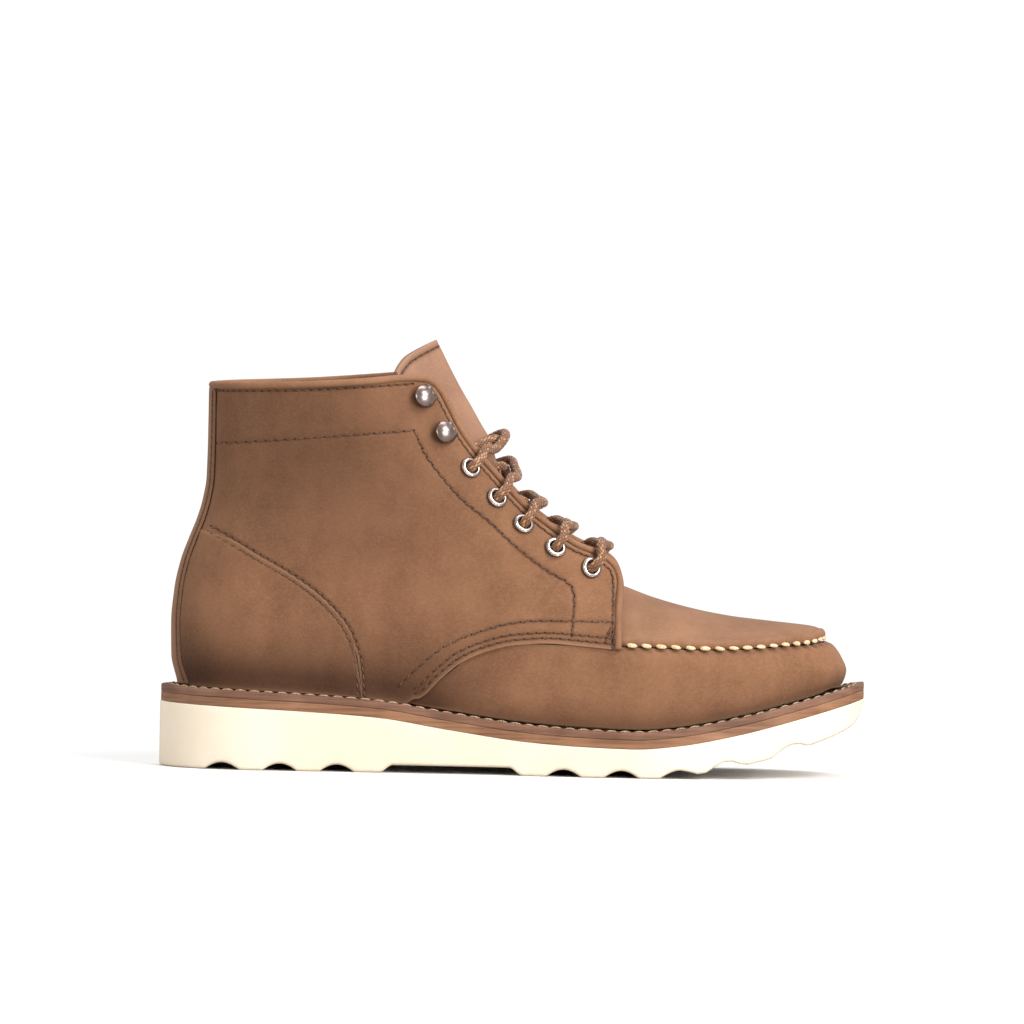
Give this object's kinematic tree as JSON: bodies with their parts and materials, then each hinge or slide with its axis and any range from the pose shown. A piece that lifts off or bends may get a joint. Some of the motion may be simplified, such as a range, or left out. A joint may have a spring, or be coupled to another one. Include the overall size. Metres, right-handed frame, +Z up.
{
  "type": "steel toe work boot",
  "caption": "Ankle-high lace-up work boot with a stitched moc toe, a protective cap under the leather and a thick scalloped wedge sole.",
  "frame": {"origin": "on the ground under the middle of the boot's length and width", "axes": "+X points to the toe, -Y is the outer (lateral) side of the right foot, +Z is up"},
  "size_m": [0.305, 0.1078, 0.186],
  "materials": {
    "upper_leather": "oiled nubuck, matt",
    "tongue_leather": "oiled nubuck, matt",
    "lining_leather": "smooth, unfinished",
    "welt_leather": "waxed edge",
    "midsole_leather": "waxed edge",
    "sole_rubber": "matt, fine grained",
    "cork_filler": "pressed granules",
    "fibre_board": "smooth board",
    "steel": "pressed",
    "nickel": "plated, satin",
    "lace_cord": "braided, waxed",
    "aglet_plastic": "moulded"
  },
  "bodies": {
    "boot": {"outsole": "sole_rubber", "midsole": "midsole_leather", "welt": "welt_leather", "bottom_filler": "cork_filler", "shank": "steel", "insole_board": "fibre_board", "footbed": "lining_leather", "quarter_lateral": "upper_leather", "facing_stay_lateral": "upper_leather", "counter_cover_lateral": "upper_leather", "lining_lateral": "lining_leather", "quarter_medial": "upper_leather", "facing_stay_medial": "upper_leather", "counter_cover_medial": "upper_leather", "lining_medial": "lining_leather", "backstay": "upper_leather", "heel_counter": "fibre_board", "vamp_wall": "upper_leather", "vamp_plug": "upper_leather", "steel_toe_cap": "steel", "lining_vamp": "lining_leather", "edge_piping": "upper_leather", "eyelet_lateral_1": "nickel", "eyelet_lateral_2": "nickel", "eyelet_lateral_3": "nickel", "eyelet_lateral_4": "nickel", "eyelet_lateral_5": "nickel", "hook_lateral_1": "nickel", "hook_washer_lateral_1": "nickel", "hook_lateral_2": "nickel", "hook_washer_lateral_2": "nickel", "eyelet_medial_1": "nickel", "eyelet_medial_2": "nickel", "eyelet_medial_3": "nickel", "eyelet_medial_4": "nickel", "eyelet_medial_5": "nickel", "hook_medial_1": "nickel", "hook_washer_medial_1": "nickel", "hook_medial_2": "nickel", "hook_washer_medial_2": "nickel", "lace": "lace_cord", "lace_end_lateral": "lace_cord", "lace_end_medial": "lace_cord", "aglet_lateral": "aglet_plastic", "aglet_medial": "aglet_plastic"},
    "tongue": {"tongue": "tongue_leather"}
  },
  "joints": [
    {"name": "tongue_fold", "type": "hinge", "parent": "boot", "child": "tongue", "pos_m": [0.043, 0, 0.078], "axis": [0, -1, 0], "range_deg": [0, 12]}
  ]
}
